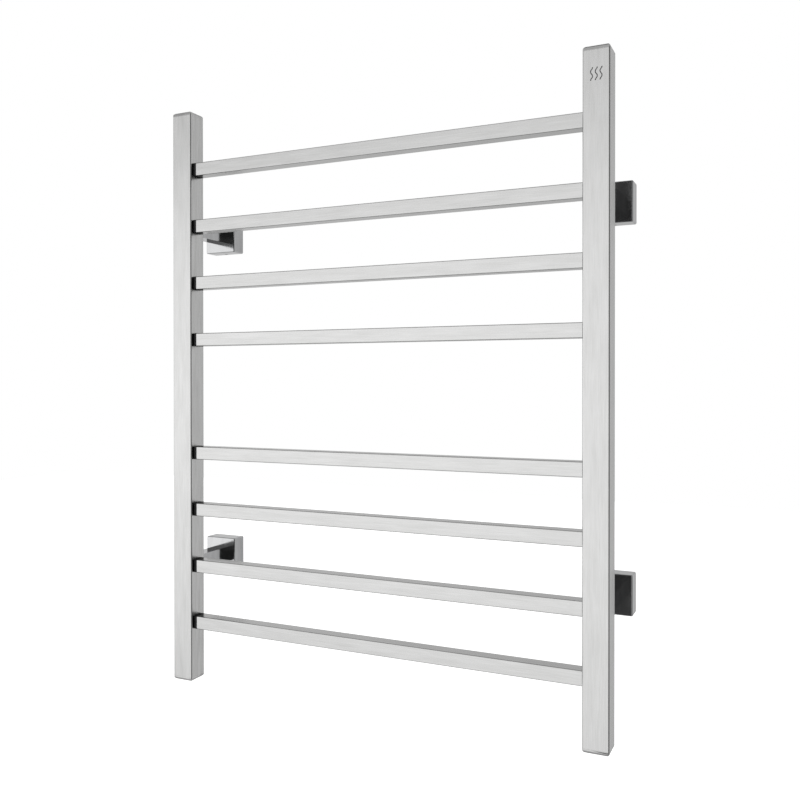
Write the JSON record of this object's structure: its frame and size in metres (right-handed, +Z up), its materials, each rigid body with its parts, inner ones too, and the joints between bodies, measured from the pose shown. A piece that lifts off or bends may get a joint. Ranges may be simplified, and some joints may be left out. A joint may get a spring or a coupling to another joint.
{
  "type": "towel warmer rack",
  "caption": "Wall-mounted electric towel warmer: two square steel posts, heated rectangular cross bars in an upper and a lower group, and square wall brackets.",
  "frame": {"origin": "on the wall plane, in the middle of the pattern of the four wall brackets", "axes": "+X to the right seen from the room, +Y into the wall, +Z up"},
  "size_m": [0.619, 0.12, 0.8001],
  "materials": {
    "brushed_steel": "stainless steel, brushed along each tube",
    "polished_chrome": "mirror-polished chrome plate",
    "zinc_plate": "zinc-plated steel, dull",
    "black_nylon": "moulded black nylon, satin",
    "black_rubber": "moulded black rubber, matt",
    "cable_jacket": "red-brown silicone rubber jacket",
    "terminal_plastic": "cream polyamide",
    "cutout_plastic": "dark phenolic, semi-gloss"
  },
  "bodies": {
    "root": {"post_left": "brushed_steel", "post_right": "brushed_steel", "cap_top_left": "brushed_steel", "cap_top_right": "brushed_steel", "cap_bottom_left": "brushed_steel", "cap_bottom_right": "brushed_steel", "bar_1": "brushed_steel", "bar_2": "brushed_steel", "bar_3": "brushed_steel", "bar_4": "brushed_steel", "bar_5": "brushed_steel", "bar_6": "brushed_steel", "bar_7": "brushed_steel", "bar_8": "brushed_steel", "collar_left_1": "black_nylon", "collar_left_2": "black_nylon", "collar_left_3": "black_nylon", "collar_left_4": "black_nylon", "collar_left_5": "black_nylon", "collar_left_6": "black_nylon", "collar_left_7": "black_nylon", "collar_left_8": "black_nylon", "cup_upper_left": "polished_chrome", "cup_upper_right": "polished_chrome", "cup_lower_left": "polished_chrome", "cup_lower_right": "polished_chrome", "arm_upper_left": "polished_chrome", "arm_upper_right": "polished_chrome", "arm_lower_left": "polished_chrome", "arm_lower_right": "polished_chrome", "wall_plate_upper_left": "zinc_plate", "wall_plate_upper_right": "zinc_plate", "wall_plate_lower_left": "zinc_plate", "wall_plate_lower_right": "zinc_plate", "bracket_bolt_upper_left": "zinc_plate", "bracket_bolt_upper_right": "zinc_plate", "bracket_bolt_lower_left": "zinc_plate", "bracket_bolt_lower_right": "zinc_plate", "bracket_nut_upper_left": "zinc_plate", "bracket_nut_upper_right": "zinc_plate", "bracket_nut_lower_left": "zinc_plate", "bracket_nut_lower_right": "zinc_plate", "grub_screw_upper_left": "zinc_plate", "grub_screw_upper_right": "zinc_plate", "grub_screw_lower_left": "zinc_plate", "grub_screw_lower_right": "zinc_plate", "cable_grommet": "black_rubber", "heating_cable": "cable_jacket", "terminal_block": "terminal_plastic", "thermal_cutout": "cutout_plastic", "earth_stud": "zinc_plate"}
  },
  "joints": []
}
